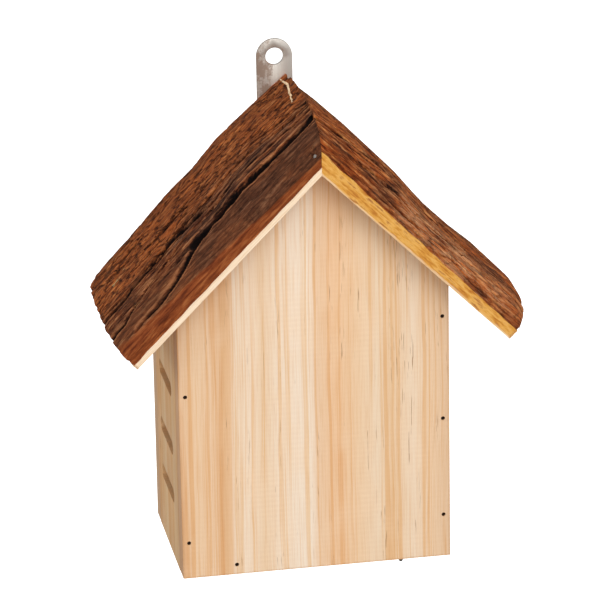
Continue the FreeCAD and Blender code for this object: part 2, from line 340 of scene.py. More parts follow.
# %% [markdown]
# ## Boards with softened arrises
# A sawn board never has a razor edge: a light pass of sandpaper leaves an
# arris about a third of a millimetre wide, which catches the light. The
# frame's own boards are right in shape, so each is copied, its triangles are
# welded and its flat faces joined, and only its long edges are bevelled. The
# frame's mesh itself stays as it was loaded.

# %% Copy, weld and bevel
SAME_POINT = 1e-6               # metres: closer corners are welded
FLAT_ANGLE = math.radians(0.4)  # faces that lean less than this are one face
SHARP_ANGLE = math.radians(30)


def alone(piece):
    """Selects one object and nothing else."""
    bpy.ops.object.select_all(action="DESELECT")
    piece.select_set(True)
    bpy.context.view_layer.objects.active = piece


def edited(piece, kind="VERT"):
    alone(piece)
    bpy.ops.object.mode_set(mode="EDIT")
    bpy.ops.mesh.select_mode(type=kind)


def smoothed(piece, degrees=35):
    bpy.ops.object.mode_set(mode="OBJECT")
    alone(piece)
    bpy.ops.object.shade_smooth_by_angle(angle=math.radians(degrees))


def welded_copy(node, name):
    piece = bpy.data.objects.new(name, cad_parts[node].data.copy())
    scene.collection.objects.link(piece)
    alone(piece)
    bpy.ops.mesh.customdata_custom_splitnormals_clear()
    edited(piece)
    bpy.ops.mesh.select_all(action="SELECT")
    bpy.ops.mesh.remove_doubles(threshold=SAME_POINT)
    bpy.ops.mesh.dissolve_limited(angle_limit=FLAT_ANGLE)
    bpy.ops.object.mode_set(mode="OBJECT")
    return piece


def soften(piece, arris, shortest):
    """Bevels the sharp edges that are longer than shortest."""
    edited(piece, "EDGE")
    bpy.ops.mesh.select_all(action="DESELECT")
    bpy.ops.mesh.edges_select_sharp(sharpness=SHARP_ANGLE)
    bpy.ops.object.mode_set(mode="OBJECT")
    mesh = piece.data
    for edge in mesh.edges:
        start, end = (mesh.vertices[index].co for index in edge.vertices)
        edge.select = edge.select and (end - start).length > shortest
    edited(piece, "EDGE")
    bpy.ops.mesh.bevel(offset=arris, segments=2, affect="EDGES", clamp_overlap=True)
    smoothed(piece)


def dressed(piece, node, body, material):
    piece.data.materials.clear()
    piece.data.materials.append(material)
    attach(piece, body)
    if node:
        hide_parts(node)


print("board tools ready")

# %% [markdown]
# ## The boards of the box
# The front board is the one people look at, so its bands are listed one by one
# from left to right: warm at the left edge, one orange streak, a broad pale
# sapwood band in the middle, then peach heartwood with yellow stripes. The
# others get plainer bands, and the side boards are a little yellower. They
# would look alike if they shared one pattern, so each gets its own shift.

# %% Front, back, sides and floor
FRONT_BANDS = [
    (0.00, paint(224, 184, 146)), (0.05, paint(232, 196, 158)), (0.12, paint(232, 196, 160)),
    (0.160, paint(222, 176, 130)), (0.185, paint(228, 186, 144)), (0.20, paint(238, 216, 192)),
    (0.28, paint(238, 212, 184)), (0.31, paint(232, 200, 164)), (0.36, paint(238, 214, 188)),
    (0.48, paint(240, 220, 198)),
    (0.515, paint(232, 196, 160)), (0.58, paint(233, 190, 148)), (0.66, paint(233, 198, 160)),
    (0.73, paint(234, 208, 178)), (0.79, paint(230, 194, 154)), (0.86, paint(235, 210, 182)),
    (0.93, paint(232, 198, 162)), (1.00, paint(222, 186, 150)),
]
SIDE_BANDS = [
    (0.0, paint(221, 175, 122)), (0.22, paint(229, 190, 141)), (0.45, paint(223, 175, 121)),
    (0.6, paint(231, 194, 146)), (0.8, paint(225, 179, 126)), (1.0, paint(219, 169, 116)),
]
PLAIN_BANDS = [
    (0.0, paint(226, 186, 144)), (0.22, paint(234, 202, 166)), (0.45, paint(228, 186, 142)),
    (0.6, paint(236, 206, 172)), (0.8, paint(230, 190, 148)), (1.0, paint(224, 180, 136)),
]
ACROSS_X, ACROSS_Y, GRAIN_Y, GRAIN_Z = 0, 1, 1, 2
BOARD_ARRIS = 0.00035
ROUND_ENDS, ALL_EDGES = 4.0, 0.45   # mm: bevel no edge that is shorter than this


def outline(node, *axes):
    low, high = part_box(node)
    return [(axis, low[axis] / MM, high[axis] / MM) for axis in axes]


boards = {
    "front_panel": ("front_board", ACROSS_X, GRAIN_Z, FRONT_BANDS, 0.0, 0.25, ROUND_ENDS),
    "back_panel": ("back_board", ACROSS_X, GRAIN_Z, PLAIN_BANDS, 3.7, 0.1, ROUND_ENDS),
    "left_side_panel": ("left_board", ACROSS_Y, GRAIN_Z, SIDE_BANDS, 7.1, 0.1, ALL_EDGES),
    "right_side_panel": ("right_board", ACROSS_Y, GRAIN_Z, SIDE_BANDS, 12.3, 0.1, ALL_EDGES),
    "floor_panel": ("floor_board", ACROSS_X, GRAIN_Y, PLAIN_BANDS, 17.9, 0.1, ROUND_ENDS),
}
for node, (name, across, along, bands, shift, ripple, shortest) in boards.items():
    board = welded_copy(node, name)
    soften(board, BOARD_ARRIS, shortest * MM)
    edges = outline(node, across, along)
    wood = fir_finish(name + "_fir", across, along, bands, edges, shift, ripple)
    body = "floor" if node == "floor_panel" else "house"
    dressed(board, node, body, wood)
    print(name, len(board.data.polygons), "faces")

# %% [markdown]
# ## Random ground for the bark
# Bark is the hardest finish here. A picture of bark would lie flat, so its
# furrows are modelled: a fine net of squares is pushed in and out. What
# pushes it is a sum of smooth random hills, stretched down the slope because
# bark splits along the trunk. The hills are drawn with a fixed seed, so the
# roof is the same each time.

# %% Hills, cracks and easing
NET = 256                       # the hills repeat after that many units


def hills(first, second, seed):
    """Smooth hills and hollows, one unit apart, between about -1 and 1."""
    lean = np.random.default_rng(seed).uniform(0, 2 * np.pi, (NET, NET))
    i, j = np.floor(first).astype(int), np.floor(second).astype(int)
    u, v = first - i, second - j

    def corner(di, dj):
        angle = lean[(i + di) % NET, (j + dj) % NET]
        return np.cos(angle) * (u - di) + np.sin(angle) * (v - dj)

    ease_u, ease_v = (w * w * w * (w * (6 * w - 15) + 10) for w in (u, v))
    near = corner(0, 0) + (corner(1, 0) - corner(0, 0)) * ease_u
    far = corner(0, 1) + (corner(1, 1) - corner(0, 1)) * ease_u
    return 1.5 * (near + (far - near) * ease_v)


def ease(value, low, high):
    share = np.clip((value - low) / (high - low), 0, 1)
    return share * share * (3 - 2 * share)


def crack(field, width):
    """1 along the lines where a field of hills crosses zero."""
    return ease(np.abs(field), width, 0)


def split_line(down, back, points, width, seed):
    """1 in the middle of a split that follows points (down, back, share of width)."""
    way, line, share = np.array(points, float).T
    middle = np.interp(down, way, line) + hills(down / 11, 0 * down, seed)
    half = width * np.interp(down, way, share) * (1 + 0.3 * hills(down / 7, 0 * down, seed + 1))
    ends = ease(down, way[0] - 3, way[0] + 3) * ease(down, way[-1] + 3, way[-1] - 3)
    return ends * ease(np.abs(back - middle), np.maximum(half, 0.3), 0.3 * half)


sample = np.arange(0, 50, 0.37)
print("hills reach", round(float(np.abs(hills(sample, sample, 1)).max()), 2))

# %% [markdown]
# ## The relief of each slab
# Each slab keeps the round back of the log it was sawn from. On top of that
# come, from large to small: the deep splits that everybody notices, listed
# one by one; the long furrows; flakes that end in small steps; fibres and grit.
# The strip along the front edge is different: there the outer bark has come
# away and the smooth red inner bark shows.

# %% Sections, splits and the height of the bark
BARK_SECTION = {
    "left": [(0, 8.0), (3.8, 11.6), (12, 14.6), (25, 16.6), (52, 17.2), (77, 16.2), (94, 13.6)],
    "right": [(0, 8.8), (3.8, 11.8), (12, 14.8), (24, 16.6), (40, 16.8), (66, 14.2), (94, 11.4)],
}
WOOD_SECTION = {
    "left": [(0, 2.6), (11, 7.0), (36, 10.2), (66, 10.0), (94, 7.0)],
    "right": [(0, 6.4), (11, 8.8), (36, 10.2), (66, 9.0), (94, 6.0)],
}
# Splits: half width and depth in mm, then points (down, back, share of width)
SPLITS = {
    "left": [
        (3.0, 4.6, [(-18, 19.5, 0.8), (0, 18.2, 0.9), (22, 17.6, 1.0), (44, 17.0, 1.0),
                    (58, 16.4, 1.1), (67, 15.8, 0.7)]),
        (2.0, 3.4, [(60, 15.5, 1.0), (70, 12.2, 1.0), (82, 8.2, 0.9), (96, 5.8, 0.8),
                    (112, 5.2, 0.5)]),
        (2.1, 3.4, [(-18, 34, 0.6), (4, 35.6, 0.7), (22, 39, 0.8), (44, 39.4, 0.8),
                    (64, 38, 0.8), (80, 41, 0.5)]),
        (2.8, 4.2, [(46, 30.5, 0.5), (58, 32.4, 1.0), (70, 34.6, 1.0), (82, 37, 0.9),
                    (92, 38.5, 0.5)]),
        (2.6, 4.2, [(86, 36, 0.5), (98, 33.4, 0.8), (110, 31.6, 1.0), (127, 31.2, 1.1)]),
        (1.8, 3.2, [(80, 24, 0.4), (94, 21.5, 0.7), (106, 18, 0.9), (116, 14.6, 1.0),
                    (127, 13.4, 1.1)]),
        (1.3, 2.0, [(98, 75, 0.5), (108, 68, 1.0), (118, 61, 1.0), (127, 54, 0.8)]),
        (1.8, 2.4, [(84, 85, 0.5), (100, 82, 1.0), (116, 81, 0.8)]),
        (1.7, 2.6, [(-18, 27, 0.8), (10, 27.5, 1.0), (34, 28, 0.7), (52, 25.5, 0.5)]),
        (1.0, 1.6, [(20, 52, 0.6), (46, 51, 1.0), (78, 54, 0.9), (100, 58, 0.5)]),
    ],
    "right": [
        (2.2, 3.6, [(-18, 17, 1.1), (0, 18, 1.2), (14, 19.5, 0.9), (34, 20, 0.8),
                    (60, 20, 0.7), (86, 21, 0.6)]),
        (1.2, 1.8, [(10, 9, 0.6), (34, 10.4, 1.0), (62, 9.2, 0.9), (84, 11.5, 0.7)]),
        (1.6, 2.6, [(58, 30, 0.7), (80, 28, 1.0), (104, 29, 1.0), (127, 27, 0.8)]),
        (1.5, 2.4, [(-18, 44, 0.7), (12, 46, 1.0), (40, 44, 1.0), (74, 47, 0.8), (108, 44, 0.7)]),
        (1.6, 2.6, [(20, 66, 0.6), (48, 64, 1.0), (88, 67, 1.0), (127, 65, 0.8)]),
    ],
}
# The log swells at mid slope: down the slope in mm, and how much thicker
SWELL = {
    "left": [(-15, 0.0), (5, 1.5), (20, 2.6), (32, 3.0), (46, 2.1), (65, 2.2), (87, 1.0),
             (100, 0.5), (125, 0.0)],
    "right": [(-15, 0.8), (5, 2.2), (25, 2.5), (40, 2.1), (54, 0.5), (71, -0.8), (100, -0.8),
              (115, 0.2), (125, 0.0)],
}
# Down the slope: how far the bark rounds off before its lower end, and how much
END_ROUND = {"left": (119, 0.9), "right": (117, 1.6)}
# The strip of inner bark reaches this high off the underside, at the ridge and at the lower end
INNER_STRIP = {"left": (6.4, 12.2), "right": (9.2, 8.4)}
SEED = {"left": 100, "right": 400}
HIGHEST_FLAKE = 0.9             # mm above the section
DEEPEST_SHADE = 2.0             # mm: a split this deep is as dark as can be
INNER_BELOW = 0.25              # mm that the smooth strip lies below the section
# Round the ridge nail the bark is pressed in: mm from it where that starts and is full
NAIL_DIP = (3.4, 1.5)
NAIL_SHOWS = 0.7                # mm that its head stands out


def slab_places(side, points):
    """The way back from metres in the frame to down, back and rise."""
    across = (points[:, 0] - ridge_x) * SIDES[side] / HALF_ROOT / MM
    upward = (points[:, 2] - apex_z) / HALF_ROOT / MM
    back = (points[:, 1] - slab_front) / MM
    return np.stack([(across - upward) / 2, back, (across + upward) / 2], axis=-1)


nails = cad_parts["ridge_nails"]
corners = np.array([nails.matrix_world @ vertex.co for vertex in nails.data.vertices])
corners = corners[corners[:, 1] < corners[:, 1].mean()]
front_nail = slab_places("left", corners)
head_top = front_nail[:, 2].max() - 0.4
NAIL_HEAD = front_nail[front_nail[:, 2] > head_top].mean(axis=0)
print("head of the front ridge nail:", np.round(NAIL_HEAD, 1))


def base_height(side, back):
    return np.interp(back, *np.array(BARK_SECTION[side]).T)


def strip_share(side, down, rise, back):
    """1 on the smooth strip along the slab's front edge."""
    top = np.interp(down, [0, SLAB_LENGTH], INNER_STRIP[side])
    top = top + 0.8 * hills(down / 14, 0 * down, SEED[side] + 30)
    return ease(rise, top + 0.9, top - 0.5) * ease(back, 8, 5)


def bark_relief(side, down, back):
    """Millimetres below the section, how dark each place is, and its flake's number."""
    seed = SEED[side]
    stray = 3.2 * hills(down / 40, back / 26, seed) + 0.8 * hills(down / 10, back / 7, seed + 1)
    line = back + stray
    rear = ease(back, 34, 52)
    front = ease(back, 17, 13) if side == "left" else 0.35 * ease(back, 14, 9)
    calm = 1 - 0.55 * front
    gully = crack(hills(down / 70, line / 8.0, seed + 2), 0.24)
    gully *= ease(hills(down / 34, line / 16, seed + 20), -0.45, 0.25)
    groove = crack(hills(down / 30, line / 3.4, seed + 3), 0.17)
    groove *= ease(hills(down / 22, line / 9, seed + 21), -0.15, 0.3)
    scratch = crack(hills(down / 12, line / 1.5, seed + 11), 0.26)
    scratch *= ease(hills(down / 15, line / 6, seed + 22), -0.2, 0.3)
    scales = hills(down / 19, line / 5.5, seed + 4) * 2.4
    scales += hills(down / 7, line / 3, seed + 5) * 0.7
    step = np.floor(scales) + ease(scales - np.floor(scales), 0.0, 0.22)
    cross = crack(hills(down / 5.5, line / 15, seed + 6), 0.16)
    cross *= ease(hills(down / 20, line / 12, seed + 7), -0.1, 0.4)
    fibre = hills(down / 9, line / 0.95, seed + 8)
    grit = hills(down / 1.9, back / 1.5, seed + 9)
    lump = hills(down / 30, back / 17, seed + 10)

    deep = np.zeros_like(down)
    for number, (width, depth, points) in enumerate(SPLITS[side]):
        split = split_line(down, back, points, width, seed + 40 + 3 * number)
        deep = np.maximum(deep, depth * split)
    fall = -0.75 + 1.8 * gully * calm + 0.9 * groove * calm + 0.35 * scratch - 0.30 * step * calm
    fall += 0.75 * cross * (0.4 + 0.6 * rear) - 0.20 * fibre
    fall -= (0.08 + 0.16 * rear) * grit + 0.45 * lump
    fall -= 0.40 * (0.3 + 0.7 * rear) * hills(down / 3.4, back / 2.6, seed + 23)
    fall = np.maximum(fall, -HIGHEST_FLAKE)
    dark = deep / DEEPEST_SHADE + 0.75 * gully * calm + 0.42 * groove * calm
    dark = np.clip(dark + 0.14 * scratch + 0.30 * cross, 0, 1)
    return np.maximum(fall, deep + 0.3 * fall), dark, step


def bark_height(side, down, back):
    fall = bark_relief(side, down, back)[0]
    base = base_height(side, back)
    start, drop = END_ROUND[side]
    base = base - drop * np.clip((down - start) / (SLAB_LENGTH - start), 0, 1) ** 2
    base = base + np.interp(down, *np.array(SWELL[side]).T) * ease(back, 2, 20)
    smooth = strip_share(side, down, base, back)
    lines = 0.12 * hills(down / 20, back / 0.7, SEED[side] + 31)
    height = base - fall * (1 - smooth) - (INNER_BELOW + lines) * smooth
    if side == "left":
        dip = ease(np.hypot(down - NAIL_HEAD[0], back - NAIL_HEAD[1]), *NAIL_DIP)
        height = height + np.minimum(NAIL_HEAD[2] - NAIL_SHOWS - height, 0) * dip
    return height


def wood_height(side, down, back):
    """Where the wood stops and the bark begins, wavering along the front edge."""
    taper = {"left": (0.0, 0.0), "right": (1.7, -1.3)}[side]
    waver = 0.25 if side == "left" else 0.55
    change = np.interp(down, [-10, SLAB_LENGTH], taper)
    change = change + waver * hills(down / 9, 0 * down, SEED[side] + 50)
    return np.interp(back, *np.array(WOOD_SECTION[side]).T) + change * ease(back, 9, 0)


probe = np.linspace(0, ROOF_DEPTH, 5)
thickness = np.round(bark_height("left", probe * 0 + SLAB_LENGTH / 2, probe), 1)
print("wood and bark at mid slope, from front to back:", thickness, "mm thick")

# %% [markdown]
# ## A net of squares for each slab
# A grid is added, pulled down into a block and its rim divided, all in unit
# lengths. Then each point is moved to its place: its three unit coordinates
# become a way down the slope, a way back and a height between two surfaces.
# At the ridge the way down equals minus the height, which makes the upright
# mitre where the slabs meet. The underside isn't seen, so it is dissolved
# into four long flats, like those on the back of the wood.

# %% Block, mapping and underside
UNDER_STRIPS = (0.12, 0.38, 0.70)   # where the flats of the wood's back meet
NEAR = 1e-4             # this close to a side of the block is on it
CREST_REACH = 1.3       # mm to each side, for what stands out or lies low
CREST_RANGE = 0.8       # mm that count as a full crest or hollow
DEEPEST_CREST = 1.2     # mm: what lies deeper doesn't lift its edges more


def read_floats(items, key):
    values = np.empty(len(items) * 3)
    items.foreach_get(key, values)
    return values.reshape(-1, 3)


def select_only(mesh, faces=None, edges=None):
    """Selects some faces or some edges of a mesh and nothing else in it."""
    for items, chosen in ((mesh.vertices, None), (mesh.edges, edges), (mesh.polygons, faces)):
        items.foreach_set("select", np.zeros(len(items), bool) if chosen is None else chosen)


def unit_block(name, along, deep, high):
    bpy.ops.object.select_all(action="DESELECT")
    bpy.ops.mesh.primitive_grid_add(
        x_subdivisions=along, y_subdivisions=deep, size=1, location=(0.5, 0.5, 1))
    block = bpy.context.object
    block.name = block.data.name = name
    bpy.ops.object.transform_apply(location=True, rotation=True, scale=True)
    edited(block)
    bpy.ops.mesh.select_all(action="SELECT")
    bpy.ops.mesh.extrude_region_move(TRANSFORM_OT_translate={"value": (0, 0, -1)})
    bpy.ops.object.mode_set(mode="OBJECT")
    for parity in (0, 1):
        mesh = block.data
        centres = read_floats(mesh.polygons, "center")
        strip = np.searchsorted(UNDER_STRIPS, centres[:, 1])
        select_only(mesh, faces=(centres[:, 2] < NEAR) & (strip % 2 == parity))
        edited(block, "FACE")
        bpy.ops.mesh.dissolve_faces(use_verts=True)
        bpy.ops.object.mode_set(mode="OBJECT")
    mesh = block.data
    ends = np.empty(len(mesh.edges) * 2, int)
    mesh.edges.foreach_get("vertices", ends)
    rise = read_floats(mesh.vertices, "co")[:, 2][ends].reshape(-1, 2)
    select_only(mesh, edges=np.abs(rise[:, 0] - rise[:, 1]) > 0.5)
    edited(block, "EDGE")
    bpy.ops.mesh.subdivide(number_cuts=high - 1)
    bpy.ops.object.mode_set(mode="OBJECT")
    return block


def slab_piece(side, name, counts, bottom, top, ragged):
    """A block shaped between two surfaces, each a function of side, down and back."""
    block = unit_block(name, *counts)
    mesh = block.data
    a, b, c = read_floats(mesh.vertices, "co").T
    back = b * ROOF_DEPTH
    down = a * SLAB_LENGTH
    for _ in range(3):          # the height shifts the place, which shifts the height
        low, high = bottom(side, down, back), top(side, down, back)
        rise = low + c * np.maximum(high - low, 0.15)
        tongues = 0.5 + 0.5 * hills(back / 7, 0 * back, SEED[side] + 60)
        reach = SLAB_LENGTH - ragged * tongues * ease(a, 0.93, 1)
        down = a * reach - rise * (1 - a)
    rim = ((b < NEAR) | (b > 1 - NEAR)) & (c < 1 - NEAR)
    inwards = np.where(b < 0.5, 1, -1)
    back = back + rim * inwards * ragged * 0.16 * (1 + hills(down / 7, rise / 1.1, SEED[side] + 61))
    end = (a > 1 - NEAR) & (c < 1 - NEAR)
    down = down - end * ragged * 0.22 * (1 + hills(back / 2.2, rise / 1.3, SEED[side] + 62))
    mesh.vertices.foreach_set("co", on_slab(side, down, back, rise).astype(np.float32).ravel())

    place = mesh.attributes.new("slab_place", "FLOAT_VECTOR", "POINT")
    threes = np.stack([down, back, rise], axis=-1).astype(np.float32)
    place.data.foreach_set("vector", threes.ravel())
    fall, dark, step = bark_relief(side, down, back)
    falls = (bark_relief(side, down, back - CREST_REACH)[0], fall,
             bark_relief(side, down, back + CREST_REACH)[0])
    before, here, behind = (np.minimum(value, DEEPEST_CREST) for value in falls)
    top_share = ease(c, 0.7, 1.0)
    crest = np.clip(((before + behind) / 2 - here) / CREST_RANGE, -1, 1)
    readings = {"split": dark * top_share, "crest": crest * top_share, "flake": step}
    for key, value in readings.items():
        held = mesh.attributes.new(key, "FLOAT", "POINT")
        held.data.foreach_set("value", value.astype(np.float32))

    edited(block)
    bpy.ops.mesh.select_all(action="SELECT")
    bpy.ops.mesh.normals_make_consistent(inside=False)
    smoothed(block, 40)
    print(name, len(block.data.polygons), "faces")
    return block


# %% [markdown]
# ## The look of bark
# Old bark is grey-brown where the weather reached it, orange-brown where a
# flake has just come off, and nearly black down in the splits, because no
# light gets out. The pieces carry four readings from the modelling: the
# place on the slab, how deep in a split a point is, whether it stands out or
# lies low, and which flake it is on. Colours follow those readings, so they
# always agree with the shape. The rear of each slab is evener and redder,
# and the front of the left one is a smooth dark plate.

# %% The bark finish
BARK_SHEEN = 0.12
BARK_BUMP = 0.9
BARK_BUMP_DEPTH = 0.0010
# Noises: size of a cell in mm down the slope, back and up, then detail and roughness
BARK_NOISES = {
    "streaks": (13, 1.7, 1.7, 5.0, 0.65), "strands": (6, 0.42, 0.42, 3.0, 0.6),
    "nicks": (4.2, 0.8, 0.8, 2.0, 0.55), "pits": (2.4, 1.3, 1.3, 3.0, 0.6),
    "grains": (0.9, 0.6, 0.6, 2.0, 0.55), "clouds": (24, 12, 12, 3.0, 0.55),
    "weather": (34, 7, 9, 4.0, 0.6), "moss": (5, 3, 3, 3.0, 0.55),
}
PLATE_SIZE = (13, 3.3, 12)      # mm, of the plates between the fine seams
# Colours from the darkest streak to the palest
BROWN = [(0.38, paint(48, 24, 15)), (0.45, paint(106, 58, 34)),
         (0.54, paint(142, 83, 50)), (0.62, paint(184, 124, 80))]
DUSK = [(0.37, paint(34, 20, 15)), (0.48, paint(76, 46, 34)),
        (0.56, paint(100, 65, 48)), (0.66, paint(142, 101, 77))]
FRESH = [(0.38, paint(84, 34, 12)), (0.45, paint(160, 77, 32)),
         (0.56, paint(194, 106, 50)), (0.63, paint(222, 148, 84))]
INNER = [(0.36, paint(96, 45, 22)), (0.50, paint(134, 68, 34)), (0.64, paint(162, 94, 52))]
STRIP_STRENGTH = {"left": 0.92, "right": 0.3}
MOSS_DOWN, MOSS_BACK = 108, 57  # mm: a patch of pale growth on the left slab


def bark_finish(side):
    finish = Finish("bark_" + side)
    place = finish.reading("slab_place", "Vector")
    split, crest, flake = (finish.reading(key) for key in ("split", "crest", "flake"))
    down, back, rise = finish.parts(place)
    streaks, strands, nicks, pits, grains, clouds, weather, moss = (
        finish.noise(finish.stretched(place, *size), detail, rough)
        for *size, detail, rough in BARK_NOISES.values())
    rear = finish.between(back, 30, 48)
    fore = finish.fade(back, 12, 20) if side == "left" else 0.0

    # Broad colours: weathered, dusky in the shade, orange where fresh
    if side == "left":
        dusky = finish.between(weather, 0.40, 0.58) * (1 - finish.between(back, 30, 46) * 0.8)
        dusky = dusky.most(0.8 - finish.between(back, 12, 22) * 0.8)
        dusky = dusky * (1 - finish.between(down, 66, 86) * 0.5)
        orange = finish.between(clouds, 0.46, 0.60) * (0.25 + finish.between(back, 32, 50) * 0.75)
        orange = orange.most(finish.between(back, 44, 60) * 0.6)
    else:
        dusky = finish.between(weather, 0.56, 0.70) * (0.3 + finish.between(back, 16, 26) * 0.4)
        orange = finish.between(clouds, 0.36, 0.54)
    colour = finish.mix(dusky, finish.ramp(streaks, *BROWN), finish.ramp(streaks, *DUSK))
    colour = finish.mix(orange * 0.85, colour, finish.ramp(streaks, *FRESH))
    tone = finish.noise(finish.joined(flake * 1.7, back * 0.06, down * 0.02), 1.0)
    colour = finish.mix(finish.between(tone, 0.42, 0.66) * 0.45, colour,
                        paint(190, 164, 150), "MULTIPLY")
    if side == "right":
        scuff = finish.between(strands + clouds * 0.5 + crest * 0.15, 0.74, 0.86)
        scuff = scuff * finish.between(down, 30, 50) * (1 - finish.between(down, 104, 122) * 0.6)
        scuff = scuff * finish.fade(back, 14, 24)
        colour = finish.mix(scuff * 0.65, colour, paint(218, 166, 122))
    plate = finish.mix(clouds, paint(66, 39, 27), paint(118, 74, 50))
    colour = finish.mix(fore * 0.55, colour, plate)

    # Strands, crests lightened by rubbed wear and a painted highlight, and hollows darkened by
    # painted shade
    dark_strands = finish.between(strands, 0.50, 0.66) * (0.55 - rear * 0.3 - fore * 0.2)
    colour = finish.mix(dark_strands, colour, paint(140, 108, 94), "MULTIPLY")
    pale_strands = finish.between(0.5 - strands, 0.04, 0.18) * (0.22 - rear * 0.14 - fore * 0.1)
    colour = finish.mix(pale_strands, colour, paint(190, 136, 98))
    # Painted highlight, with some rubbed wear: the crests of the relief are lightened
    crest_wear_and_highlight = finish.between(crest + (grains - 0.5) * 0.8 + (clouds - 0.5), 0.30, 0.95)
    colour = finish.mix(crest_wear_and_highlight * 0.4, colour, paint(176, 116, 78))
    # Painted shade: the hollows of the relief are darkened
    hollow_shade = finish.between(0 - crest + (grains - 0.5) * 0.4, 0.2, 0.9)
    colour = finish.mix(hollow_shade * 0.5, colour, paint(110, 90, 80), "MULTIPLY")

    # The even rear, with its pits, seams and cuts
    even = finish.mix(clouds, paint(126, 67, 37), paint(200, 115, 64))
    colour = finish.mix(rear * 0.45, colour, even)
    colour = finish.mix(finish.between(pits, 0.52, 0.60) * (0.15 + rear * 0.2), colour,
                        paint(120, 92, 76), "MULTIPLY")
    glints = finish.between(0.5 - pits, 0.05, 0.14) * rear
    colour = finish.mix(glints * 0.12, colour, paint(196, 122, 66))
    warp = (clouds - 0.5) * 2.2 + (pits - 0.5) * 0.9
    cell_place = finish.joined(down / PLATE_SIZE[0] + warp * 0.3, back / PLATE_SIZE[1] + warp,
                               rise / PLATE_SIZE[2])
    cells = finish.node("TexVoronoi", {"feature": "DISTANCE_TO_EDGE"},
                        {"Vector": cell_place, "Scale": 1.0})
    seams = finish.fade(cells, 0.015, 0.085) * (0.35 + rear * 0.45 - fore * 0.1)
    colour = finish.mix(seams, colour, paint(66, 48, 40), "MULTIPLY")
    cuts = finish.between(nicks, 0.575, 0.625) * (0.2 + finish.between(back, 18, 40) * 0.4)
    colour = finish.mix(cuts, colour, paint(70, 54, 46), "MULTIPLY")

    # The strip of inner bark along the front edge, darker towards its top
    low, high = INNER_STRIP[side]
    strip_top = low + down * ((high - low) / SLAB_LENGTH) + (clouds - 0.5) * 2.4
    strip = finish.between(strip_top - rise, -0.5, 0.5) * finish.fade(back, 5, 7)
    strip = strip * STRIP_STRENGTH[side]
    red = finish.mix(finish.between(rise, low - 1.5, high + 1.0) * 0.6,
                     finish.ramp(streaks, *INNER), paint(172, 148, 140), "MULTIPLY")
    colour = finish.mix(strip, colour, red)

    # Pale growth, and the darkness of the splits
    growth = finish.between(moss, 0.52, 0.66)
    if side == "left":
        growth = growth * finish.fade((down - MOSS_DOWN).size() / 9, 0.3, 1.0)
        aslant = (back - MOSS_BACK + (down - MOSS_DOWN) * 0.5).size()
        growth = growth * finish.fade(aslant, 1.5, 4.0)
    else:
        growth = growth * finish.between(back, 60, 80) * 0.5
    colour = finish.mix(growth * 0.75, colour, paint(196, 186, 132))
    shade = finish.between(split, 0.25, 1.0) * (1 - strip)
    colour = finish.mix(shade, colour, paint(62, 48, 42), "MULTIPLY")

    height = streaks * 0.7 + strands * 0.5 + grains * 0.35
    height = height - cuts * 0.9 - seams * 1.1 - pits * (0.3 + rear * 0.6)
    return finish.done(
        height * (1 - strip * 0.7), BARK_BUMP, BARK_BUMP_DEPTH, Base_Color=colour,
        Roughness=0.74 + strands * 0.2 - strip * 0.12 + split * 0.1,
        Specular_IOR_Level=BARK_SHEEN,
    )


print("bark finish ready")

# %% [markdown]
# ## The two bark skins
# Both skins use the same net and the same recipe, with their own sections,
# splits and seeds. The net is as fine as the smallest flakes that a person
# sees at arm's length, just under half a millimetre.

# %% Make the bark
BARK_NET = (330, 226, 5)        # squares down the slope, back and up
BARK_RAGGED = 1.3               # mm that its lower end and rim waver
for side in SIDES:
    skin = slab_piece(side, "bark_skin_" + side, BARK_NET, wood_height, bark_height, BARK_RAGGED)
    dressed(skin, "roof_bark_" + side, "house", bark_finish(side))

# %% [markdown]
# ## The slab wood under the bark
# Under each skin lies the outer cut of the log: flat below, round above. Its
# front edge shows raw wood. On the left it is a thin cream line; on the right
# a thick band, pale at the saw cut and deep yellow towards the bark, where
# resin has dried. The wood takes its top from the same function as the bark
# takes its bottom, so the two always meet.

# %% Wood finish and pieces
WOOD_BUMP = 0.45
WOOD_BUMP_DEPTH = 0.0006
WOOD_NET = (180, 60, 5)
WOOD_RAGGED = 0.5


def flat_bottom(side, down, back):
    return 0 * down


def slab_wood_finish(side):
    finish = Finish("slab_wood_" + side)
    place = finish.reading("slab_place", "Vector")
    down, back, rise = finish.parts(place)
    rings = finish.noise(finish.stretched(place, 160, 2.4, 1.3), 4.0, 0.6)
    fibres = finish.noise(finish.stretched(place, 20, 0.5, 0.5), 3.0)
    blots = finish.noise(finish.stretched(place, 12, 5, 2.2), 3.0, 0.65)
    saw = finish.noise(finish.stretched(place, 1.3, 14, 14), 2.0)
    colour = finish.ramp(rings, (0.30, paint(214, 168, 116)), (0.5, paint(236, 202, 158)),
                         (0.7, paint(244, 218, 182)))
    colour = finish.mix(finish.between(fibres, 0.4, 0.75) * 0.4, colour, paint(206, 152, 98))
    if side == "right":
        deep = finish.between(rise + (blots - 0.5) * 3.0, 0.1, 1.2) * finish.fade(back, 1.5, 4)
        gold = finish.ramp(blots, (0.34, paint(178, 104, 26)), (0.46, paint(210, 144, 52)),
                           (0.56, paint(226, 170, 84)), (0.68, paint(186, 118, 48)))
        colour = finish.mix(deep, colour, gold)
        rusty = finish.between(blots + fibres * 0.3, 0.74, 0.86) * deep
        colour = finish.mix(rusty * 0.7, colour, paint(158, 92, 42))
    else:
        cream = finish.ramp(fibres, (0.3, paint(236, 200, 160)), (0.6, paint(248, 224, 194)))
        colour = finish.mix(finish.fade(back, 1.0, 2.0), colour, cream)
    end_cut = finish.between(down, SLAB_LENGTH - 2.0, SLAB_LENGTH - 0.9)
    colour = finish.mix(end_cut * 0.55, colour, paint(170, 116, 66))
    height = fibres * 0.6 + saw * 0.5 + rings * 0.3
    return finish.done(height, WOOD_BUMP, WOOD_BUMP_DEPTH, Base_Color=colour,
                       Roughness=0.62 + fibres * 0.18)


